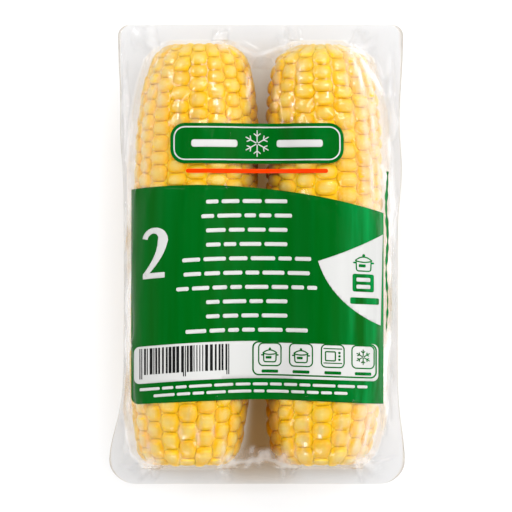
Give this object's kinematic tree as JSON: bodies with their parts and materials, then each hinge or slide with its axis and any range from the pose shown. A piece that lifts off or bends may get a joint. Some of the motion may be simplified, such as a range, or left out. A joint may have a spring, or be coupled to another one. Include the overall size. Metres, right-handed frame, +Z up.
{
  "type": "frozen vegetable bag",
  "caption": "Clear vacuum-sealed bag of frozen corn cobs lying side by side, with film stretched over the kernels, a printed green field with white panels, and a flat sealed border.",
  "frame": {"origin": "under the middle of the bag's outline, on the plane it lies on", "axes": "+Z up out of the printed front, +Y along the cobs towards the upper edge of the print, +X to the right of the print"},
  "size_m": [0.114, 0.177, 0.0487],
  "materials": {
    "corn_in_film": "glossy clear film drawn tight over yellow kernels",
    "kernels": "waxy and slightly see-through, paler at the crowns, orange yellow in the grooves",
    "cut_cob": "rough pale cut cob with a softer pith",
    "clear_film": "clear glossy film with fine creases",
    "printed_film": "glossy printed film, green with white and red fields"
  },
  "bodies": {
    "root": {"sealed_bag": "corn_in_film"}
  },
  "joints": []
}
